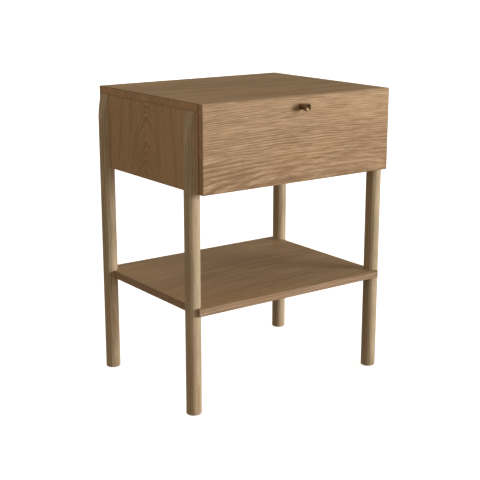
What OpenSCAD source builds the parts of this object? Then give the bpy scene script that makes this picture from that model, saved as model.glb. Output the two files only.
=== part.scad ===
// Nightstand with one drawer, a lower shelf and four round legs.
// Millimetres. +Z is up and the drawer opens towards -Y. The origin is on the floor,
// in the middle of the overall width and the overall depth, knob included.

/* [Case] */
// Height from the floor to the top surface
height = 600; // [500:1:720]
// Width between the outer faces of the case's sides
case_w = 450; // [370:1:560]
// Depth of the case behind the drawer front
case_d = 360; // [300:1:440]
// Height of the case, from the underside of its sides to the top surface
case_h = 165; // [135:1:220]
// Thickness of the top, sides, bottom and shelf
board_t = 15; // [12:0.5:18]
// Thickness of the back panel
back_t = 6; // [4:0.5:8]
// How far the back panel is let into each board around it
rabbet = 7; // [4:0.5:8]

/* [Legs and shelf] */
// Diameter of a leg
leg_d = 30; // [25:1:36]
// Distance from the case's front or back edge to a leg's axis
leg_inset = 22.5; // [19:0.5:40]
// How far a leg stands out from the case just under the top
leg_tip = 2.5; // [1:0.5:6]
// Height of the slanted cut at a leg's upper end
leg_cut_h = 57; // [30:1:90]
// Radius of the rounded edge at a leg's foot
foot_round = 2; // [0.5:0.5:3]
// Height from the floor to the shelf's top surface
shelf_z = 216; // [150:1:280]
// Diameter of the glide under a leg
glide_d = 22; // [16:1:24]
// Thickness of a glide's pad
glide_t = 3; // [2:0.5:5]
// How far a glide stands out below its leg
glide_proud = 1; // [0.5:0.5:2]
// Diameter of a glide's nail
glide_nail_d = 3; // [2:0.5:4]
// Length of a glide's nail above the pad
glide_nail_l = 15; // [10:1:20]

/* [Drawer] */
// Thickness of the drawer front
front_t = 13; // [10:0.5:18]
// Gap between the drawer front and the case's front edges
front_gap = 2; // [1.5:0.5:4]
// Thickness of the drawer box's walls
wall_t = 12; // [10:0.5:15]
// Thickness of the drawer's bottom
bottom_t = 6; // [4:0.5:8]
// Depth of the groove that the drawer's bottom sits in
groove = 6; // [4:0.5:7]
// Height of the drawer's bottom above the lower edge of its walls
bottom_up = 8; // [6:1:14]
// Space between the drawer box and the case's bottom
box_gap_below = 12; // [6:1:16]
// Space between the drawer box and the case's top
box_gap_above = 18; // [8:1:24]
// Space between the drawer box and the back panel
box_gap_behind = 24; // [10:1:40]
// Height of a finger in the drawer box's corner joints, before fitting to the wall
finger_h = 15; // [10:1:25]
// Diameter of a bumper behind the drawer front
bumper_d = 8; // [6:0.5:10]

/* [Knob] */
// Length of the knob from the drawer front
knob_l = 20; // [17:0.5:28]
// Diameter of the knob's head
knob_d = 15.6; // [14:0.2:24]
// Diameter of the knob at the drawer front
knob_base_d = 11.6; // [10:0.2:13.4]
// Radius of the rounded rim of the knob's head
knob_rim = 1.2; // [0.8:0.1:2]
// Depth of the hollow in the knob's face
knob_dish = 2.6; // [0.6:0.2:3]
// Distance from the top surface down to the knob's axis
knob_drop = 20; // [16:1:60]

/* [Drawer slides] */
// Width of the space that a slide takes between the case's side and the drawer box
slide_t = 13; // [12.6:0.1:14]
// Height of a slide
slide_h = 35; // [33:0.5:45]
// Thickness of a rail's steel
rail_t = 1.2; // [1:0.1:1.4]
// Diameter of a ball
ball_d = 3.2; // [3:0.1:3.4]
// How deep a ball sits in the groove of each rail
ball_sink = 0.5; // [0.3:0.05:0.6]
// Thickness of a ball cage
cage_t = 0.6; // [0.4:0.1:0.7]
// Distance between neighbouring balls
ball_pitch = 20; // [12:1:30]
// How far the lips of a rail reach past its balls
lip_over = 0.6; // [0.4:0.1:0.8]
// How much shorter a ball cage is than half a slide
cage_short = 10; // [5:5:40]
// Distance from the case's front edge to the slides
slide_setback = 3; // [2:1:10]
// Distance from a slide's ends to its first and last screw
rail_screw_inset = 35; // [15:5:60]
// Step between the lengths that slides are made in
slide_step = 50; // [25:25:50]

/* [Fastenings] */
// Diameter of the dowels in the case
dowel_d = 8; // [6:0.5:8]
// Length of the dowels in the case
dowel_l = 30; // [24:1:36]
// Diameter of the dowels between shelf and legs
shelf_dowel_d = 6; // [5:0.5:8]
// Length of the dowels between shelf and legs
shelf_dowel_l = 24; // [20:1:30]
// Wood left beyond the blind end of a dowel
blind_wood = 6; // [4:0.5:7]
// Shank diameter of the wood screws
screw_d = 4; // [3:0.5:4.5]
// How far a leg's screw reaches into the leg
leg_screw_bite = 8; // [6:0.5:10]
// Wood left beyond the tip of a leg's screw
leg_tip_wood = 2; // [1.5:0.5:4]
// Distance from a slide up to a leg's upper screw
leg_screw_above = 10; // [8:1:14]
// Distance from a slide down to a leg's lower screw
leg_screw_below = 25; // [15:1:30]
// How far the screws of the drawer front reach into it
front_screw_bite = 8; // [5:0.5:8]
// How far the knob's screw reaches into the knob
knob_screw_bite = 11; // [7:0.5:11]
// Height of a wood screw's countersunk head
head_h = 2.2; // [1.8:0.1:2.6]
// Shank diameter of the slides' screws
rail_screw_d = 3.5; // [3:0.5:4]
// Length of the slides' screws
rail_screw_l = 10; // [8:0.5:10.5]
// Shank diameter of the back panel's screws
back_screw_d = 3; // [2:0.5:3.5]
// Length of the back panel's screws
back_screw_l = 20; // [16:1:25]
// Height of the heads of the back panel's screws
back_head_h = 1.4; // [1:0.1:1.8]
// Width of the cross recess in a screw's head
recess_w = 0.9; // [0.6:0.1:1.2]

/* [Clearances] */
// Radial clearance of a ball in its grooves and its cage
ball_gap = 0.05; // [0.02:0.01:0.1]
// Space between surfaces that move past each other
move_gap = 0.3; // [0.3:0.1:0.6]
// Radial clearance of dowels and screws in their holes
hole_gap = 0.05; // [0.02:0.01:0.1]
// Clearance around the panels that lie in a groove or rabbet
panel_gap = 0.25; // [0.1:0.05:0.5]

/* [Hidden] */
$fn = 64;
eps = 0.01;
over = 5;

leg_r = leg_d / 2;
inner_w = case_w - 2 * board_t;
case_z = height - case_h;
top_z = height - board_t;
floor_z = case_z + board_t;

overall_d = case_d + front_gap + front_t + knob_l;
back_y = overall_d / 2;
case_y = back_y - case_d;
front_y = case_y - front_gap - front_t;
leg_y = [case_y + leg_inset, back_y - leg_inset];
mid_y = (case_y + back_y) / 2;

box_w = inner_w - 2 * slide_t;
box_z = floor_z + box_gap_below;
box_h = top_z - box_gap_above - box_z;
box_y = case_y - front_gap;
box_back_y = back_y - back_t - box_gap_behind;
fingers = 2 * floor(box_h / finger_h / 2) + 1;

slide_z = box_z + box_h / 2;
slide_y = case_y + slide_setback;
slide_l = floor((box_back_y - slide_y) / slide_step) * slide_step;
rail_y = slide_y + slide_l / 2;
cage_l = slide_l / 2 - cage_short;
knob_z = height - knob_drop;

// How far the outer balls are tucked in over the back of the middle rail.
ball_tuck = 0.2;
// The three rails nest inside each other. Each is told by its half height v,
// and the distance u is counted from the case's side towards the drawer.
rail_drop = rail_t + ball_d - 2 * ball_sink;
case_rail_v = slide_h / 2;
middle_rail_v = case_rail_v - rail_drop;
drawer_rail_v = middle_rail_v - rail_drop;
ball_drop = rail_t + ball_d / 2 - ball_sink;
outer_ball_v = case_rail_v - ball_drop;
inner_ball_v = middle_rail_v - ball_drop;
middle_u = rail_t + cage_t + 2 * move_gap;
outer_ball_u = middle_u + (rail_t + ball_d) / 2 - ball_tuck;
inner_ball_u = slide_t - rail_t - ball_d;
lip = ball_d / 2 + lip_over;
outer_cage_u = rail_t + move_gap;
inner_cage_u = (middle_u + rail_t + inner_ball_u - lip - cage_t) / 2;

leg_screw_z = [slide_z - slide_h / 2 - leg_screw_below, slide_z + slide_h / 2 + leg_screw_above];
rail_screw_y = [slide_y + rail_screw_inset, rail_y, slide_y + slide_l - rail_screw_inset];

OAK = [0.70, 0.58, 0.45];
BIRCH = [0.86, 0.76, 0.60];
BRASS = [0.50, 0.40, 0.24];
STEEL = [0.72, 0.73, 0.75];
RUBBER = [0.85, 0.85, 0.82];
NYLON = [0.25, 0.23, 0.21];

// ---- helpers ----

// Draws its children on the left (side = -1) as they are, or mirrored on the right.
module on_side(side) {
    mirror([side > 0 ? 1 : 0, 0, 0]) children();
}

// A box from one corner to the opposite one.
module block(low, high) {
    translate(low) cube(high - low);
}

// A cylinder that starts at a point and runs along +X.
module rod_x(at, r, l) {
    translate(at) rotate([0, 90, 0]) cylinder(r = r, h = l);
}

// A countersunk shape: the head's flat face at z = 0 and the tip at z = -l.
module screw_shape(d, l, head, gap) {
    r = d / 2 + gap;
    translate([0, 0, -l - gap]) cylinder(r = r, h = l + gap);
    translate([0, 0, -head]) cylinder(r1 = r, r2 = r + head, h = head);
}

// The hole that a countersunk screw fits in, open above its head.
module screw_hole(d, l, head) {
    screw_shape(d, l, head, hole_gap);
    cylinder(r = d / 2 + hole_gap + head, h = over);
}

// A countersunk screw with a cross recess in its head.
module screw(d, l, head) {
    reach = d * 0.6;
    difference() {
        screw_shape(d, l, head, 0);
        for (a = [0, 90]) {
            rotate([0, 0, a]) translate([-reach, -recess_w / 2, -head * 0.6]) {
                cube([2 * reach, recess_w, head]);
            }
        }
    }
}

// ---- case ----

// The space that the back panel fills, with a gap all round.
module back_panel_shape(gap = 0) {
    w = inner_w / 2 + rabbet - panel_gap + gap;
    block([-w, back_y - back_t, floor_z - rabbet + panel_gap - gap],
          [w, back_y + (gap > 0 ? over : 0), top_z + rabbet - panel_gap + gap]);
}

module top_dowel_places() {
    for (side = [-1, 1]) {
        for (y = [case_y + 2 * leg_inset, mid_y, back_y - 2 * leg_inset]) {
            translate([side * (case_w - board_t) / 2, y, height - blind_wood]) children();
        }
    }
}

module bottom_dowel_places() {
    for (side = [-1, 1]) {
        on_side(side) {
            for (y = [case_y + 2 * leg_inset, mid_y, back_y - 2 * leg_inset]) {
                translate([-case_w / 2 + blind_wood, y, case_z + board_t / 2]) children();
            }
        }
    }
}

module top_dowels(gap = 0) {
    color(BIRCH) top_dowel_places() {
        translate([0, 0, -dowel_l - gap]) cylinder(r = dowel_d / 2 + gap, h = dowel_l + 2 * gap);
    }
}

module bottom_dowels(gap = 0) {
    color(BIRCH) bottom_dowel_places() rod_x([-gap, 0, 0], dowel_d / 2 + gap, dowel_l + 2 * gap);
}

module back_panel_screw_places() {
    w = inner_w / 2 + rabbet / 2;
    top = top_z + rabbet / 2;
    low = floor_z - rabbet / 2;
    for (x = [-w, w]) {
        for (z = [slide_z - slide_h, slide_z + slide_h]) {
            translate([x, back_y, z]) rotate([-90, 0, 0]) children();
        }
    }
    for (x = [-inner_w / 3, 0, inner_w / 3]) {
        for (z = [low, top]) translate([x, back_y, z]) rotate([-90, 0, 0]) children();
    }
}

module back_panel_screws() {
    color(STEEL) back_panel_screw_places() screw(back_screw_d, back_screw_l, back_head_h);
}

module back_panel_holes() {
    back_panel_screw_places() screw_hole(back_screw_d, back_screw_l, back_head_h);
}

module top_panel() {
    color(OAK) difference() {
        block([-case_w / 2, case_y, top_z], [case_w / 2, back_y, height]);
        back_panel_shape(panel_gap);
        top_dowels(hole_gap);
        back_panel_holes();
    }
}

module case_bottom_panel() {
    color(OAK) difference() {
        block([-inner_w / 2, case_y, case_z], [inner_w / 2, back_y, floor_z]);
        back_panel_shape(panel_gap);
        bottom_dowels(hole_gap);
        back_panel_holes();
    }
}

module side_panel(side) {
    color(OAK) difference() {
        on_side(side) block([-case_w / 2, case_y, case_z], [-inner_w / 2, back_y, top_z]);
        back_panel_shape(panel_gap);
        top_dowels(hole_gap);
        bottom_dowels(hole_gap);
        back_panel_holes();
        leg_screw_places(leg_screw_z) screw_hole(screw_d, board_t + over, head_h);
        on_side(side) case_rail_screw_places() screw_hole(rail_screw_d, rail_screw_l, rail_t);
    }
}

module back_panel() {
    color(OAK) difference() {
        back_panel_shape();
        back_panel_holes();
    }
}

// ---- legs and shelf ----

// How far a leg stands out from the case at height z.
function leg_out(z) = min(leg_r, leg_tip + (leg_r - leg_tip) * (top_z - z) / leg_cut_h);

function leg_screw_l(z) = board_t + min(leg_screw_bite, leg_out(z) - leg_tip_wood);

module leg_screw_places(heights) {
    for (side = [-1, 1], y = leg_y, z = heights) {
        on_side(side) translate([-inner_w / 2, y, z]) rotate([0, 90, 0]) children();
    }
}

module leg_screws() {
    color(STEEL) for (z = leg_screw_z) {
        leg_screw_places([z]) screw(screw_d, leg_screw_l(z), head_h);
    }
}

module leg_screw_holes() {
    for (z = leg_screw_z) leg_screw_places([z]) screw_hole(screw_d, leg_screw_l(z), head_h);
}

module shelf_dowels(gap = 0) {
    color(BIRCH) for (side = [-1, 1], y = leg_y) {
        on_side(side) {
            rod_x([-case_w / 2 - leg_r + blind_wood - gap, y, shelf_z - board_t / 2],
                  shelf_dowel_d / 2 + gap, shelf_dowel_l + 2 * gap);
        }
    }
}

module glide(gap = 0) {
    cylinder(r = glide_d / 2 + gap, h = glide_t + gap);
    cylinder(r = glide_nail_d / 2 + gap, h = glide_t + glide_nail_l + gap);
}

module leg_glides(gap = 0) {
    color(NYLON) for (x = [-case_w / 2, case_w / 2], y = leg_y) {
        translate([x, y, 0]) glide(gap);
    }
}

// A whole round leg with a rounded edge at the foot.
module leg_round_stock() {
    translate([0, 0, glide_proud]) rotate_extrude() {
        square([leg_r - foot_round, foot_round + eps]);
        translate([0, foot_round]) square([leg_r, top_z - glide_proud - foot_round]);
        intersection() {
            translate([leg_r - foot_round, foot_round]) circle(r = foot_round);
            square([leg_r, foot_round + eps]);
        }
    }
}

// The inner half of the leg is cut away for the side panel and for the shelf,
// and a slanted flat takes the outer half back towards the case under the top.
module leg_cuts() {
    block([0, -leg_r - over, case_z], [leg_r + over, leg_r + over, height]);
    block([0, -leg_r - over, shelf_z - board_t], [leg_r + over, leg_r + over, shelf_z]);
    translate([0, leg_r + over, 0]) rotate([90, 0, 0]) linear_extrude(leg_d + 2 * over) {
        polygon([[-leg_tip, top_z], [-leg_r - eps, top_z - leg_cut_h],
                 [-leg_r - over, top_z - leg_cut_h], [-leg_r - over, height],
                 [-leg_tip, height]]);
    }
}

module leg(side, y) {
    color(OAK) difference() {
        on_side(side) translate([-case_w / 2, y, 0]) {
            difference() {
                leg_round_stock();
                leg_cuts();
            }
        }
        leg_glides(hole_gap);
        leg_screw_holes();
        shelf_dowels(hole_gap);
    }
}

module lower_shelf() {
    color(OAK) difference() {
        block([-case_w / 2, case_y, shelf_z - board_t], [case_w / 2, back_y, shelf_z]);
        shelf_dowels(hole_gap);
    }
}

// ---- drawer ----

module drawer_front_screw_places() {
    for (x = [-box_w / 3, box_w / 3], z = [box_z + box_h / 3, box_z + 2 * box_h / 3]) {
        translate([x, box_y + wall_t, z]) rotate([-90, 0, 0]) children();
    }
}

module drawer_front_screws() {
    color(STEEL) drawer_front_screw_places() screw(screw_d, wall_t + front_screw_bite, head_h);
}

module drawer_front_screw_holes() {
    drawer_front_screw_places() screw_hole(screw_d, wall_t + front_screw_bite, head_h);
}

module knob_screw_place() {
    translate([0, box_y, knob_z]) rotate([-90, 0, 0]) children();
}

module knob_screw() {
    color(STEEL) knob_screw_place() screw(screw_d, front_t + knob_screw_bite, head_h);
}

module knob_screw_hole() {
    knob_screw_place() screw_hole(screw_d, front_t + knob_screw_bite, head_h);
}

module drawer_front() {
    color(OAK) difference() {
        block([-case_w / 2, front_y, case_z], [case_w / 2, box_y, height]);
        drawer_front_screw_holes();
        knob_screw_hole();
    }
}

// Round pads that meet the case's front edges when the drawer is shut.
module drawer_bumpers() {
    t = front_gap - move_gap;
    color(RUBBER) for (x = [-1, 1], z = [case_z + board_t * 2, top_z - board_t]) {
        translate([x * (case_w - board_t) / 2, box_y, z]) {
            rotate([-90, 0, 0]) cylinder(r = bumper_d / 2, h = t);
        }
    }
}

// The places in the box's four corners where every second finger is cut out.
module finger_cuts(first) {
    h = box_h / fingers;
    for (side = [-1, 1], i = [first : 2 : fingers - 1]) {
        low = box_z + i * h - (i == 0 ? over : 0);
        high = box_z + (i + 1) * h + (i == fingers - 1 ? over : 0);
        on_side(side) {
            block([-box_w / 2 - over, box_y - over, low],
                  [-box_w / 2 + wall_t, box_y + wall_t, high]);
            block([-box_w / 2 - over, box_back_y - wall_t, low],
                  [-box_w / 2 + wall_t, box_back_y + over, high]);
        }
    }
}

module drawer_bottom_shape(gap = 0) {
    w = box_w / 2 - wall_t + groove - panel_gap + gap;
    inset = wall_t - groove + panel_gap - gap;
    z = box_z + bottom_up;
    block([-w, box_y + inset, z - gap], [w, box_back_y - inset, z + bottom_t + gap]);
}

module drawer_bottom() {
    color(BIRCH) drawer_bottom_shape();
}

module drawer_side(side) {
    color(BIRCH) difference() {
        on_side(side) {
            block([-box_w / 2, box_y, box_z], [-box_w / 2 + wall_t, box_back_y, box_z + box_h]);
        }
        finger_cuts(1);
        drawer_bottom_shape(panel_gap);
        on_side(side) drawer_rail_screw_places() screw_hole(rail_screw_d, rail_screw_l, rail_t);
    }
}

// The wall across the box whose outer face lies at y, or at y + wall_t at the back.
module drawer_cross_wall(y) {
    difference() {
        block([-box_w / 2, y, box_z], [box_w / 2, y + wall_t, box_z + box_h]);
        finger_cuts(0);
        drawer_bottom_shape(panel_gap);
    }
}

module drawer_inner_front() {
    color(BIRCH) difference() {
        drawer_cross_wall(box_y);
        drawer_front_screw_holes();
    }
}

module drawer_back() {
    color(BIRCH) drawer_cross_wall(box_back_y - wall_t);
}

// A turned knob: a stem that widens to a rounded rim around a hollow face.
module knob() {
    head_r = knob_d / 2;
    dish_r = head_r - knob_rim;
    dish_ball = (dish_r * dish_r + knob_dish * knob_dish) / (2 * knob_dish);
    color(BRASS) difference() {
        translate([0, front_y, knob_z]) rotate([90, 0, 0]) {
            difference() {
                rotate_extrude() {
                    polygon([[0, 0], [knob_base_d / 2, 0], [head_r, knob_l - knob_rim],
                             [dish_r, knob_l], [0, knob_l]]);
                    translate([dish_r, knob_l - knob_rim]) circle(r = knob_rim);
                }
                translate([0, 0, knob_l - knob_dish + dish_ball]) sphere(r = dish_ball, $fn = 96);
            }
        }
        knob_screw_hole();
    }
}

// ---- drawer slides ----

// Places a slide's section, drawn as [u, v], on the left side of the case,
// as a length l of rail with its middle at the rail's middle when shut.
module along_slide(l) {
    translate([-inner_w / 2, rail_y + l / 2, slide_z]) rotate([90, 0, 0]) {
        linear_extrude(l) children();
    }
}

// A channel with its back at u = back, its lips towards u = tip, and half height v.
module channel(back, tip, v, t) {
    low = min(back, tip);
    high = max(back, tip);
    inside = tip > back ? [low + t, high + over] : [low - over, high - t];
    difference() {
        translate([low, -v]) square([high - low, 2 * v]);
        translate([inside[0], -v + t]) square([inside[1] - inside[0], 2 * (v - t)]);
    }
}

// The grooves in which the balls run.
module ball_grooves(u, v) {
    for (k = [-1, 1]) translate([u, k * v]) circle(r = ball_d / 2 + ball_gap);
}

module case_rail_screw_places() {
    for (y = rail_screw_y) {
        translate([-inner_w / 2 + rail_t, y, slide_z]) rotate([0, 90, 0]) children();
    }
}

module drawer_rail_screw_places() {
    for (y = rail_screw_y) {
        translate([-box_w / 2 - rail_t, y, slide_z]) rotate([0, -90, 0]) children();
    }
}

module case_rail(side) {
    color(STEEL) on_side(side) difference() {
        along_slide(slide_l) difference() {
            channel(0, outer_ball_u + lip, case_rail_v, rail_t);
            ball_grooves(outer_ball_u, outer_ball_v);
        }
        case_rail_screw_places() screw_hole(rail_screw_d, rail_screw_l, rail_t);
    }
}

module middle_rail(side) {
    color(STEEL) on_side(side) along_slide(slide_l) difference() {
        channel(middle_u, inner_ball_u + lip, middle_rail_v, rail_t);
        ball_grooves(outer_ball_u, outer_ball_v);
        ball_grooves(inner_ball_u, inner_ball_v);
    }
}

module drawer_rail(side) {
    color(STEEL) on_side(side) difference() {
        along_slide(slide_l) difference() {
            channel(slide_t, inner_ball_u - lip, drawer_rail_v, rail_t);
            ball_grooves(inner_ball_u, inner_ball_v);
        }
        drawer_rail_screw_places() screw_hole(rail_screw_d, rail_screw_l, rail_t);
    }
}

module ball_places(u, v) {
    n = floor((cage_l / 2 - ball_d) / ball_pitch);
    for (k = [-1, 1], i = [-n : n]) {
        translate([-inner_w / 2 + u, rail_y + i * ball_pitch, slide_z + k * v]) children();
    }
}

// A thin channel whose lips hold the balls between two rails.
module ball_cage(side, back, tip, u, v) {
    color(NYLON) on_side(side) difference() {
        along_slide(cage_l) channel(back, tip, v + cage_t / 2, cage_t);
        ball_places(u, v) {
            translate([0, 0, -cage_t]) cylinder(r = ball_d / 2 + ball_gap, h = 2 * cage_t);
        }
    }
}

module balls(side, u, v) {
    color(STEEL) on_side(side) ball_places(u, v) sphere(r = ball_d / 2);
}

module outer_cage(side) {
    ball_cage(side, outer_cage_u, outer_ball_u + lip, outer_ball_u, outer_ball_v);
}

module inner_cage(side) {
    ball_cage(side, inner_cage_u, inner_ball_u + lip, inner_ball_u, inner_ball_v);
}

module case_rail_screws() {
    color(STEEL) for (side = [-1, 1]) {
        on_side(side) case_rail_screw_places() screw(rail_screw_d, rail_screw_l, rail_t);
    }
}

module drawer_rail_screws() {
    color(STEEL) for (side = [-1, 1]) {
        on_side(side) drawer_rail_screw_places() screw(rail_screw_d, rail_screw_l, rail_t);
    }
}

// ---- the parts ----

top_panel();
case_bottom_panel();
side_panel(-1);  // left_side_panel
side_panel(1);  // right_side_panel
back_panel();
leg(-1, leg_y[0]);  // front_left_leg
leg(1, leg_y[0]);  // front_right_leg
leg(-1, leg_y[1]);  // rear_left_leg
leg(1, leg_y[1]);  // rear_right_leg
lower_shelf();
leg_glides();
leg_screws();
shelf_dowels();
top_dowels();
bottom_dowels();
back_panel_screws();
drawer_front();
drawer_inner_front();
drawer_side(-1);  // drawer_left_side
drawer_side(1);  // drawer_right_side
drawer_back();
drawer_bottom();
drawer_front_screws();
drawer_bumpers();
knob();
knob_screw();
case_rail(-1);  // left_case_rail
case_rail(1);  // right_case_rail
middle_rail(-1);  // left_middle_rail
middle_rail(1);  // right_middle_rail
drawer_rail(-1);  // left_drawer_rail
drawer_rail(1);  // right_drawer_rail
outer_cage(-1);  // left_outer_cage
outer_cage(1);  // right_outer_cage
balls(-1, outer_ball_u, outer_ball_v);  // left_outer_balls
balls(1, outer_ball_u, outer_ball_v);  // right_outer_balls
inner_cage(-1);  // left_inner_cage
inner_cage(1);  // right_inner_cage
balls(-1, inner_ball_u, inner_ball_v);  // left_inner_balls
balls(1, inner_ball_u, inner_ball_v);  // right_inner_balls
case_rail_screws();
drawer_rail_screws();
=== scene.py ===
"""Oak nightstand with one drawer and a lower shelf: camera, light and materials.

Everything is in metres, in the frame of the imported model. +Z is up and the drawer opens
towards -Y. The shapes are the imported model's own, with their edges eased here, and every
visible surface has a procedural material.
"""

import math

import bpy
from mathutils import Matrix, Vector


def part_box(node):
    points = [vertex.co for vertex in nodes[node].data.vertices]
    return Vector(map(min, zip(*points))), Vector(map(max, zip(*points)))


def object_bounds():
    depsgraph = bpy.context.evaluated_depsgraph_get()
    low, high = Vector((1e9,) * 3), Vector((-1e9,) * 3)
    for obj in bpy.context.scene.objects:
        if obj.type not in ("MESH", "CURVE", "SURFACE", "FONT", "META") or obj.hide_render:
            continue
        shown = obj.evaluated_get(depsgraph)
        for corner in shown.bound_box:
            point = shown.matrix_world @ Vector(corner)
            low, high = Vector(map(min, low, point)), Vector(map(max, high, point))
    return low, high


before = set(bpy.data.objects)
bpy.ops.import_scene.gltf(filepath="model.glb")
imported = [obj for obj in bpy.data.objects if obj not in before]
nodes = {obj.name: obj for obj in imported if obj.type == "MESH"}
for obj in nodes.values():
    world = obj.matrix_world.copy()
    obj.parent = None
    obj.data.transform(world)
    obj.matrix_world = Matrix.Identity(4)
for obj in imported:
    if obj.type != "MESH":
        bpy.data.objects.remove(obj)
cad_low, cad_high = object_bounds()


# ---- camera ----

CAMERA_AT = Vector((-1.2867, -1.7592, 0.8474))
CAMERA_AZIMUTH = 35.87  # degrees, turned from +Y towards +X
CAMERA_PITCH = 14.54  # degrees below the horizon
CAMERA_LENS = 81.0  # millimetres
SENSOR_WIDTH = 36.0  # millimetres
CLIP_NEAR, CLIP_FAR = 0.05, 60.0


def add_camera():
    data = bpy.data.cameras.new("camera")
    data.lens = CAMERA_LENS
    data.sensor_width = SENSOR_WIDTH
    data.clip_start = CLIP_NEAR
    data.clip_end = CLIP_FAR
    camera = bpy.data.objects.new("camera", data)
    camera.location = CAMERA_AT
    tilt, turn = math.radians(90 - CAMERA_PITCH), math.radians(-CAMERA_AZIMUTH)
    camera.rotation_euler = (tilt, 0.0, turn)
    bpy.context.scene.collection.objects.link(camera)
    bpy.context.scene.camera = camera


add_camera()


# ---- node graphs ----

MIX_A, MIX_B, MIX_RESULT = 6, 7, 2  # the colour sockets of a Mix node


class Graph:
    """A short way to build a material's nodes: most calls return an output socket."""

    def __init__(self, tree):
        self.tree = tree
        self.tree.nodes.clear()

    def node(self, kind, inputs=None, **settings):
        made = self.tree.nodes.new(kind)
        for name, value in settings.items():
            setattr(made, name, value)
        for key, value in (inputs or {}).items():
            self.feed(made.inputs[key], value)
        return made

    def feed(self, socket, value):
        if isinstance(value, bpy.types.NodeSocket):
            self.tree.links.new(value, socket)
        else:
            socket.default_value = value

    def math(self, operation, a, b=0.0, c=0.0):
        made = self.node("ShaderNodeMath", operation=operation)
        for socket, value in zip(made.inputs, (a, b, c)):
            self.feed(socket, value)
        return made.outputs[0]

    def vector(self, x, y, z):
        return self.node("ShaderNodeCombineXYZ", {"X": x, "Y": y, "Z": z}).outputs[0]

    def scaled(self, point, factors):
        """A point with each of its three coordinates multiplied by a factor."""
        return self.vector(*(self.math("MULTIPLY", p, f) for p, f in zip(point, factors)))

    def place(self):
        """The x, y and z of a point in the model's frame, which move with the piece."""
        coordinates = self.node("ShaderNodeTexCoord").outputs["Object"]
        split = self.node("ShaderNodeSeparateXYZ", {"Vector": coordinates})
        return split.outputs["X"], split.outputs["Y"], split.outputs["Z"]

    def noise(self, vector, detail, roughness, scale=1.0, distortion=0.0):
        made = self.node(
            "ShaderNodeTexNoise",
            {
                "Vector": vector,
                "Scale": scale,
                "Detail": detail,
                "Roughness": roughness,
                "Distortion": distortion,
            },
        )
        return made.outputs["Fac"]

    def grey_ramp(self, factor, stops):
        made = self.node("ShaderNodeValToRGB", {"Fac": factor})
        elements = made.color_ramp.elements
        while len(elements) < len(stops):
            elements.new(stops[len(elements)][0])
        for element, (position, grey) in zip(elements, stops):
            element.position = position
            element.color = (grey, grey, grey, 1.0)
        return made.outputs["Color"]

    def smooth(self, value, low, high, out_low=0.0, out_high=1.0):
        made = self.node(
            "ShaderNodeMapRange",
            {
                "Value": value,
                "From Min": low,
                "From Max": high,
                "To Min": out_low,
                "To Max": out_high,
            },
            interpolation_type="SMOOTHSTEP",
        )
        return made.outputs["Result"]

    def mix(self, factor, a, b):
        """Colour a where the factor is 0 and colour b where it is 1."""
        made = self.node("ShaderNodeMix", data_type="RGBA")
        self.feed(made.inputs["Factor"], factor)
        for socket, colour in ((MIX_A, a), (MIX_B, b)):
            plain = not isinstance(colour, bpy.types.NodeSocket)
            self.feed(made.inputs[socket], (*colour, 1.0) if plain else colour)
        return made.outputs[MIX_RESULT]

    def bump(self, height, strength, distance):
        inputs = {"Height": height, "Strength": strength, "Distance": distance}
        return self.node("ShaderNodeBump", inputs).outputs["Normal"]

    def finish(self, inputs):
        shader = self.node("ShaderNodeBsdfPrincipled", inputs)
        self.node("ShaderNodeOutputMaterial", {"Surface": shader.outputs[0]})


def new_material(name):
    material = bpy.data.materials.new(name)
    material.use_nodes = True
    return material, Graph(material.node_tree)


# ---- wood ----

# the colours inside a veneered board, and of the strips glued to a shelf's edges
CORE = {"light": (0.680, 0.452, 0.255), "dark": (0.380, 0.238, 0.126)}
LIPPING = {"light": (0.470, 0.330, 0.224), "dark": (0.270, 0.178, 0.108)}

# how many cells of noise there are in a metre, along the fibres and across them
WANDER_CELLS = (2.2, 7.0)
RIPPLE_CELLS = (9.0, 38.0)
FIBRE_CELLS = (16.0, 380.0)
STREAK_CELLS = (3.0, 55.0)
PORE_CELLS = (130.0, 2600.0)
CLOUD_CELLS = (2.5, 9.0)
# the same, along the fibres and outwards through the growth rings
STRAND_CELLS = (9.0, 700.0)
YEAR_CELLS = (1.5, 95.0)

NOISE_MIDDLE = 0.5
SECOND_WANDER = (13.7, 4.1, 8.3)  # where in the noise the second wander is read
# the tone of one year's growth, from its dark pores to its pale late wood
YEAR = ((0.0, 0.35), (0.10, 0.0), (0.30, 0.55), (0.62, 1.0), (1.0, 0.60))
STRONG_YEARS = (0.34, 0.62)  # noise levels between which a year's line goes from weak to strong
WEAKEST_YEAR = 0.35
EARLY_MEAN = 0.25  # the growth lines' darkness, averaged over a board
FIBRE_WEIGHT = 0.7
STRAND_WEIGHT = 1.5
TONE_SPREAD = 0.40  # how far from its middle the tone reaches full light or full dark
STREAK_DISTORTION = 0.4
PORE_EDGE = (0.58, 0.70)  # noise levels between which a pore opens
PORES_ELSEWHERE = 0.25  # how open the pores are outside the early wood
PORE_DARK = 0.45
VENEER = (0.0009, 0.0013)  # depths between which the veneer gives way to the core
RED = (0.92, 0.72, 0.58)  # the tint of the warmer clouds
RED_EDGE = (0.52, 0.75)  # noise levels between which a cloud turns warm
RED_MOST = 0.45
NEAR_EDGE_GAPS = (0.0016, 0.0028)  # how near to an edge the wood is darker and smoother
NEAR_EDGE_RAGGED = 0.0012
NEAR_EDGE_DARK = 0.62
NEAR_EDGE_MOST = 0.35
ROUGHNESS = 0.46
ROUGHER_DARK = 0.14
SMOOTHER_NEAR_EDGES = -0.10
SPECULAR = 0.3
FIBRE_RISE, PORE_RISE, EARLY_RISE = 0.5, -1.0, -0.35
GRAIN_RELIEF = 0.0003
GRAIN_BUMP = 0.35


def along_and_across(cells):
    """The factors of a noise for the along, across and through directions of a board."""
    long, wide = cells
    return long, wide, wide


def scaled_colour(colour, factor):
    return tuple(c * factor for c in colour)


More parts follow.
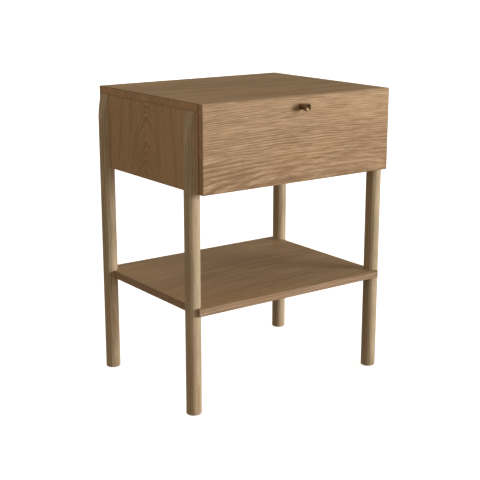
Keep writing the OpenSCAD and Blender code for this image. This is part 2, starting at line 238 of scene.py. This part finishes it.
def edge_distance(g, x, y, z, low, high):
    """How far a point on a board's surface is from the board's nearest edge."""
    gaps = []
    for value, a, b in ((x, low.x, high.x), (y, low.y, high.y), (z, low.z, high.z)):
        gaps.append(g.math("MINIMUM", g.math("SUBTRACT", value, a), g.math("SUBTRACT", b, value)))
    small = g.math("MINIMUM", gaps[0], gaps[1])
    large = g.math("MAXIMUM", gaps[0], gaps[1])
    return g.math("MAXIMUM", small, g.math("MINIMUM", large, gaps[2]))


def growth_radius(g, point, heart, lean, bow, wave, ripple_depth, broken):
    """How far a point is from the log's heart, with the wander and ripple of real rings."""
    along, across, through = point
    slow = g.scaled(point, along_and_across(WANDER_CELLS))
    shifted = g.node("ShaderNodeVectorMath", {0: slow, 1: SECOND_WANDER}, operation="ADD")
    wanders = []
    for place in (slow, shifted.outputs[0]):
        offset = g.math("SUBTRACT", g.noise(place, detail=2.0, roughness=0.45), NOISE_MIDDLE)
        wanders.append(g.math("MULTIPLY", offset, wave * 2))
    a = g.math("ADD", g.math("SUBTRACT", across, heart[0]), wanders[0])
    a = g.math("MULTIPLY_ADD", along, g.math("MULTIPLY_ADD", along, bow, lean), a)
    b = g.math("ADD", g.math("SUBTRACT", through, heart[1]), wanders[1])
    radius = g.math("SQRT", g.math("ADD", g.math("MULTIPLY", a, a), g.math("MULTIPLY", b, b)))
    # small waves, so that a growth line is never straight
    long, wide = RIPPLE_CELLS
    ripple_at = g.scaled(point, (long * broken, wide, wide))
    ripple = g.math("SUBTRACT", g.noise(ripple_at, detail=3.0, roughness=0.55), NOISE_MIDDLE)
    return g.math("MULTIPLY_ADD", ripple, ripple_depth, radius)


def wood(
    name,
    grain,
    heart,
    light,
    dark,
    lean=0.0,
    bow=0.0,
    ring=0.005,
    wave=0.02,
    ripple_depth=0.008,
    broken=1.0,
    figure=0.6,
    pores=0.5,
    streaks=0.3,
    clouds=0.35,
    sap=(0.0, 0.0),
    board=None,
    face=None,
    core=CORE,
):
    """Solid wood cut from a log, so the figure runs on over the edges and ends of a board.

    grain is the axis that the fibres run along. heart is the place of the log's centre across
    the grain, and light and dark are the wood's two colours. lean is how much the log leans
    against the board, and bow is how much it bends, which makes arches. ring is the width of a
    growth ring, wave is how far the rings wander, and ripple_depth is the size of their small
    waves. broken is how short the lines are. figure, pores, streaks and clouds are how strong
    the growth lines, the pores, the streaks and the cloudy changes of tone are. sap is
    how fast the wood pales with distance from the heart and the distance at which it has its own
    tone. board is the piece whose edges are darkened and smoothed. face is its veneered side,
    "front" or "top", if it has one: its other sides show the core's colours.
    """
    material, g = new_material(name)
    x, y, z = g.place()
    point = {"X": (x, y, z), "Y": (y, z, x), "Z": (z, x, y)}[grain]
    along = point[0]
    radius = growth_radius(g, point, heart, lean, bow, wave, ripple_depth, broken)
    rings = g.grey_ramp(g.math("FRACT", g.math("DIVIDE", radius, ring)), YEAR)
    # some years leave a strong line and some hardly any
    long, deep = YEAR_CELLS
    year_at = g.vector(g.math("MULTIPLY", radius, deep), g.math("MULTIPLY", along, long), 0.0)
    year = g.noise(year_at, detail=2.0, roughness=0.5)
    strength = g.smooth(year, *STRONG_YEARS, WEAKEST_YEAR, 1.0)
    early = g.math("MULTIPLY", g.math("SUBTRACT", 1.0, rings), strength)
    # fibres and streaks, much longer than wide
    long, wide = FIBRE_CELLS
    fibre_at = g.scaled(point, (long * broken, wide, wide))
    fibre = g.noise(fibre_at, detail=4.0, roughness=0.62)
    streak_at = g.scaled(point, along_and_across(STREAK_CELLS))
    streak = g.noise(streak_at, detail=3.0, roughness=0.55, distortion=STREAK_DISTORTION)
    # strands that follow the growth rings, so that they bend as one
    long, deep = STRAND_CELLS
    strand_at = g.vector(
        g.math("MULTIPLY", along, long * broken), g.math("MULTIPLY", radius, deep), 0.0
    )
    strand = g.noise(strand_at, detail=3.0, roughness=0.7)
    # open pores: short dark dashes along the fibres, thickest in the early wood
    pore_at = g.scaled(point, along_and_across(PORE_CELLS))
    pore = g.smooth(g.noise(pore_at, detail=1.0, roughness=0.5), *PORE_EDGE)
    opening = g.math("MULTIPLY_ADD", early, 1 - PORES_ELSEWHERE, PORES_ELSEWHERE)
    pore = g.math("MULTIPLY", pore, opening)
    # cloudy changes of tone over the board
    cloud_at = g.scaled(point, along_and_across(CLOUD_CELLS))
    cloud = g.noise(cloud_at, detail=3.0, roughness=0.5)

    tone = g.math("MULTIPLY", early, -figure)
    for part, weight in (
        (fibre, FIBRE_WEIGHT),
        (strand, STRAND_WEIGHT),
        (streak, streaks),
        (cloud, clouds),
    ):
        tone = g.math("MULTIPLY_ADD", part, weight, tone)
    pale_rate, pale_from = sap
    paler = g.math("MULTIPLY", g.math("SUBTRACT", radius, pale_from), pale_rate)
    tone = g.math("ADD", tone, paler)
    weights = FIBRE_WEIGHT + STRAND_WEIGHT + streaks + clouds
    middle = NOISE_MIDDLE * weights - EARLY_MEAN * figure
    tone = g.smooth(tone, middle - TONE_SPREAD, middle + TONE_SPREAD)
    colour = g.mix(tone, dark, light)
    if face is not None:
        low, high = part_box(board)
        between = (y, low.y) if face == "front" else (high.z, z)
        depth = g.math("SUBTRACT", *between)
        inside = g.mix(tone, core["dark"], core["light"])
        colour = g.mix(g.smooth(depth, *VENEER), colour, inside)
    red = tuple(c * k for c, k in zip(light, RED))
    colour = g.mix(g.smooth(cloud, *RED_EDGE, 0.0, RED_MOST), colour, red)
    colour = g.mix(g.math("MULTIPLY", pore, pores), colour, scaled_colour(dark, PORE_DARK))
    rough = g.math("MULTIPLY_ADD", g.math("SUBTRACT", 1.0, tone), ROUGHER_DARK, ROUGHNESS)
    if board is not None:
        # darker and smoother within a few millimetres of the board's edges
        gap = edge_distance(g, x, y, z, *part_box(board))
        ragged = g.math("MULTIPLY_ADD", fibre, NEAR_EDGE_RAGGED, gap)
        near_edge = g.smooth(ragged, *NEAR_EDGE_GAPS, 1.0, 0.0)
        near_edge_colour = scaled_colour(dark, NEAR_EDGE_DARK)
        colour = g.mix(g.math("MULTIPLY", near_edge, NEAR_EDGE_MOST), colour, near_edge_colour)
        rough = g.math("MULTIPLY_ADD", near_edge, SMOOTHER_NEAR_EDGES, rough)
    rise = g.math("MULTIPLY_ADD", fibre, FIBRE_RISE, g.math("MULTIPLY", pore, PORE_RISE))
    rise = g.math("MULTIPLY_ADD", early, EARLY_RISE, rise)
    normal = g.bump(rise, GRAIN_BUMP, GRAIN_RELIEF)
    look = {"Base Color": colour, "Roughness": rough, "Normal": normal}
    g.finish({**look, "Specular IOR Level": SPECULAR})
    return material


# ---- metal, plastic and rubber ----

BRASS_CLEAN = (0.36, 0.26, 0.15)
BRASS_TARNISHED = (0.120, 0.078, 0.042)
BRASS_ROUGHNESS, BRASS_ROUGHER = 0.36, 0.16
TARNISH_EDGE = (0.35, 0.72)  # noise levels between which the tarnish sets in
ZINC = {"clean": (0.60, 0.61, 0.63), "dull": (0.48, 0.49, 0.52), "low": 0.26, "high": 0.44}
BALLS = {"clean": (0.75, 0.76, 0.78), "dull": (0.68, 0.69, 0.72), "low": 0.08, "high": 0.16}
CAGE_NYLON = {"colour": (0.16, 0.15, 0.14), "rough": 0.48, "speck": 0.1}
GLIDE_NYLON = {"colour": (0.10, 0.085, 0.07), "rough": 0.55, "speck": 0.15}
CLEAR_RUBBER = {"colour": (0.62, 0.62, 0.58), "rough": 0.35, "speck": 0.06}
MOULD_ROUGHER = 0.12
PATCH_EDGE = (0.3, 0.7)  # noise levels between which a patch of the second tone begins
# how many cells of noise there are in a metre, in each direction
PATINA_CELLS = 420.0
TURNED_CELLS = (60.0, 2400.0, 60.0)
SPANGLE_CELLS = 900.0
DRAWN_CELLS = (3000.0, 12.0, 3000.0)
MOULD_CELLS = 2600.0
BLOTCH_CELLS = 140.0
TURNED_BUMP, TURNED_RELIEF = 0.12, 0.00008
DRAWN_BUMP, DRAWN_RELIEF = 0.08, 0.00005
MOULD_RELIEF = 0.00008
BLOTCH_LIGHTER = 1.12


def aged_brass(name):
    """Turned brass: tarnished in patches, with the lathe's fine rings."""
    material, g = new_material(name)
    point = g.place()
    patina = g.noise(g.vector(*point), detail=4.0, roughness=0.6, scale=PATINA_CELLS)
    turned = g.noise(g.scaled(point, TURNED_CELLS), detail=2.0, roughness=0.5)
    colour = g.mix(g.smooth(patina, *TARNISH_EDGE), BRASS_CLEAN, BRASS_TARNISHED)
    rough = g.math("MULTIPLY_ADD", patina, BRASS_ROUGHER, BRASS_ROUGHNESS)
    normal = g.bump(turned, TURNED_BUMP, TURNED_RELIEF)
    g.finish({"Base Color": colour, "Metallic": 1.0, "Roughness": rough, "Normal": normal})
    return material


def steel(name, clean, dull, low, high):
    """Drawn steel, whose roughness runs between low and high along its draw lines."""
    material, g = new_material(name)
    point = g.place()
    spangle = g.noise(g.vector(*point), detail=3.0, roughness=0.55, scale=SPANGLE_CELLS)
    drawn = g.noise(g.scaled(point, DRAWN_CELLS), detail=2.0, roughness=0.5)
    colour = g.mix(g.smooth(spangle, *PATCH_EDGE), clean, dull)
    rough = g.math("MULTIPLY_ADD", drawn, high - low, low)
    normal = g.bump(drawn, DRAWN_BUMP, DRAWN_RELIEF)
    g.finish({"Base Color": colour, "Metallic": 1.0, "Roughness": rough, "Normal": normal})
    return material


def moulded(name, colour, rough, speck):
    """Moulded plastic or rubber; speck is how strong its fine surface texture is."""
    material, g = new_material(name)
    point = g.vector(*g.place())
    texture = g.noise(point, detail=3.0, roughness=0.6, scale=MOULD_CELLS)
    blotch = g.noise(point, detail=2.0, roughness=0.5, scale=BLOTCH_CELLS)
    lighter = scaled_colour(colour, BLOTCH_LIGHTER)
    shade = g.mix(g.smooth(blotch, *PATCH_EDGE), colour, lighter)
    roughness = g.math("MULTIPLY_ADD", texture, MOULD_ROUGHER, rough)
    normal = g.bump(texture, speck, MOULD_RELIEF)
    g.finish({"Base Color": shade, "Roughness": roughness, "Normal": normal})
    return material


# ---- the pieces' finishes ----

# the drawer front, the top, the shelf, the panels around the case and the legs; the top, shelf and
# panel colours are copies of the front's oak with painted shade
OAK = {"light": (0.592, 0.417, 0.258), "dark": (0.290, 0.177, 0.095)}
# a darker, less blue copy of the oak for the top's upper face: painted shade
OAK_TOP_PAINTED_SHADE = {"light": (0.447, 0.298, 0.148), "dark": (0.250, 0.161, 0.069)}
# a darker copy of the oak for the shelf's upper face: painted shade
OAK_SHELF_PAINTED_SHADE = {"light": (0.480, 0.331, 0.185), "dark": (0.275, 0.180, 0.088)}
# a warmer copy of the oak for the panels around the case: the painted colour of their shade
OAK_SIDE_PAINTED_SHADE = {"light": (0.625, 0.417, 0.238), "dark": (0.365, 0.238, 0.125)}
OAK_SOLID = {"light": (0.620, 0.498, 0.343), "dark": (0.400, 0.310, 0.196)}
BIRCH = {"light": (0.72, 0.56, 0.36), "dark": (0.58, 0.42, 0.25)}  # the drawer box, the dowels
SIDE_PALING = (2.0, 0.075)  # how fast the side panels pale, and how far from the heart
# widths of the eased edges
EASE_BOARD = 0.0008
EASE_LEG = 0.0010
EASE_THIN = 0.0004
EASE_SEGMENTS = 2
SHARP_ANGLE = 40  # degrees; a flatter corner isn't eased
LEG_HEART = 0.08  # how far behind a leg its log's heart lies


def dress(node, material):
    slots = nodes[node].data.materials
    slots.clear()
    slots.append(material)


def ease(node, width):
    """Rounds a piece's sharp edges a little, inside its own outline."""
    bevel = nodes[node].modifiers.new("eased_edges", "BEVEL")
    bevel.width = width
    bevel.segments = EASE_SEGMENTS
    bevel.limit_method = "ANGLE"
    bevel.angle_limit = math.radians(SHARP_ANGLE)
    bevel.harden_normals = True


def oak_board(node, grain, heart, **more):
    dress(node, wood("oak_" + node, grain, heart, board=node, **more))
    ease(node, EASE_BOARD)


def oak_leg(node):
    low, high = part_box(node)
    middle = (low + high) / 2
    heart = (middle.x, middle.y + LEG_HEART)
    look = {"ring": 0.0042, "wave": 0.006, "ripple_depth": 0.004, "lean": 0.02, **OAK_SOLID}
    dress(node, wood("oak_" + node, "Z", heart, **look))
    ease(node, EASE_LEG)


def birch_board(node, grain, heart):
    look = {"ring": 0.006, "pores": 0.12, **BIRCH}
    dress(node, wood("birch_" + node, grain, heart, board=node, **look))
    ease(node, EASE_THIN)


oak_board(
    "drawer_front",
    "X",
    (-0.02, 0.420),
    lean=-0.002,
    bow=-0.05,
    ring=0.0026,
    wave=0.005,
    ripple_depth=0.003,
    broken=1.8,
    figure=0.4,
    streaks=0.1,
    clouds=0.25,
    # paler towards the top of the front, darker towards its bottom
    sap=(2.2, 0.205),
    face="front",
    **OAK,
)
oak_board(
    "top_panel",
    "X",
    (0.35, 0.42),
    lean=0.05,
    figure=0.5,
    streaks=0.6,
    clouds=0.9,
    face="top",
    **OAK_TOP_PAINTED_SHADE,
)
oak_board(
    "lower_shelf", "X", (-0.28, 0.06), lean=-0.04, clouds=0.6, face="top", core=LIPPING, **OAK_SHELF_PAINTED_SHADE
)
oak_board("left_side_panel", "Z", (-0.19, 0.02), lean=0.22, figure=0.3, sap=SIDE_PALING, **OAK_SIDE_PAINTED_SHADE)
oak_board("right_side_panel", "Z", (0.19, 0.03), lean=-0.2, figure=0.3, sap=SIDE_PALING, **OAK_SIDE_PAINTED_SHADE)
oak_board("case_bottom_panel", "X", (0.2, 0.3), ring=0.006, **OAK_SIDE_PAINTED_SHADE)
oak_board("back_panel", "X", (0.1, 0.35), lean=0.1, ring=0.006, **OAK_SIDE_PAINTED_SHADE)
for leg in ("front_left_leg", "front_right_leg", "rear_left_leg", "rear_right_leg"):
    oak_leg(leg)
birch_board("drawer_inner_front", "X", (-0.2, 0.35))
birch_board("drawer_back", "X", (0.1, 0.62))
birch_board("drawer_left_side", "Y", (0.35, -0.14))
birch_board("drawer_right_side", "Y", (0.66, 0.12))
birch_board("drawer_bottom", "X", (0.1, 0.3))
dowel_wood = wood("beech_dowels", "Z", (0.0, 0.0), pores=0.1, **BIRCH)
for node in ("shelf_dowels", "top_dowels", "bottom_dowels"):
    dress(node, dowel_wood)

dress("knob", aged_brass("aged_brass"))
zinc = steel("zinc_steel", **ZINC)
bright = steel("ball_steel", **BALLS)
cage_plastic = moulded("nylon_cage", **CAGE_NYLON)
for node in nodes:
    if node.endswith(("_rail", "_screws", "_screw")):
        dress(node, zinc)
    if node.endswith("_balls"):
        dress(node, bright)
    if node.endswith("_cage"):
        dress(node, cage_plastic)
dress("leg_glides", moulded("nylon_glide", **GLIDE_NYLON))
dress("drawer_bumpers", moulded("clear_rubber", **CLEAR_RUBBER))


# ---- floor and light ----

FLOOR_REACH = 30.0
FLOOR_SEEN = (0.86, 0.86, 0.855)
FLOOR_BOUNCE = (0.34, 0.280, 0.215)  # the floor's colour as it lights the nightstand
# the glow that keeps the floor near white around the shadows
GLOW_COLOUR = (1.0, 1.0, 0.995, 1.0)
GLOW_STRENGTH = 0.80
# the room's light, from all sides
AMBIENT_COLOUR = (1.0, 0.855, 0.69, 1.0)
AMBIENT_STRENGTH = 0.385
LIGHT_DISTANCE = 8.0
LIGHT_SIZE = 3.4


def add_floor():
    mesh = bpy.data.meshes.new("floor")
    far = FLOOR_REACH
    corners = [(-far, -far, 0.0), (far, -far, 0.0), (far, far, 0.0), (-far, far, 0.0)]
    mesh.from_pydata(corners, [], [(0, 1, 2, 3)])
    floor = bpy.data.objects.new("floor", mesh)
    bpy.context.scene.collection.objects.link(floor)
    material, g = new_material("pale_floor")
    seen = g.node("ShaderNodeLightPath").outputs["Is Camera Ray"]
    tint = g.mix(seen, FLOOR_BOUNCE, FLOOR_SEEN)
    matt = g.node("ShaderNodeBsdfDiffuse", {"Color": tint})
    strength = g.math("MULTIPLY", seen, GLOW_STRENGTH)
    glow = g.node("ShaderNodeEmission", {"Color": GLOW_COLOUR, "Strength": strength})
    both = g.node("ShaderNodeAddShader", {0: matt.outputs[0], 1: glow.outputs[0]})
    g.node("ShaderNodeOutputMaterial", {"Surface": both.outputs[0]})
    mesh.materials.append(material)


def add_area_light(name, direction, watts, diffuse=True, glossy=True):
    """A soft square light that shines at the middle of the nightstand from one direction.

    It can be kept from lighting surfaces (diffuse) or from showing in reflections (glossy).
    """
    data = bpy.data.lights.new(name, "AREA")
    data.shape = "SQUARE"
    data.size = LIGHT_SIZE
    data.energy = watts
    light = bpy.data.objects.new(name, data)
    light.visible_diffuse = diffuse
    light.visible_glossy = glossy
    middle = (cad_low + cad_high) / 2
    away = Vector(direction).normalized()
    light.location = middle + away * LIGHT_DISTANCE
    light.rotation_euler = away.to_track_quat("Z", "Y").to_euler()
    bpy.context.scene.collection.objects.link(light)


def add_world():
    world = bpy.data.worlds.new("studio")
    bpy.context.scene.world = world
    world.use_nodes = True
    g = Graph(world.node_tree)
    ambient = {"Color": AMBIENT_COLOUR, "Strength": AMBIENT_STRENGTH}
    shade = g.node("ShaderNodeBackground", ambient)
    g.node("ShaderNodeOutputWorld", {"Surface": shade.outputs[0]})


add_floor()
add_world()
add_area_light("key", direction=(0.65, -0.76, 0.18), watts=575.0, glossy=False)
add_area_light("back_fill", direction=(0.15, 0.98, 0.12), watts=220.0, glossy=False)
add_area_light("gloss", direction=(0.65, -0.76, 0.60), watts=300.0, diffuse=False)
bpy.context.scene.view_settings.view_transform = "Standard"
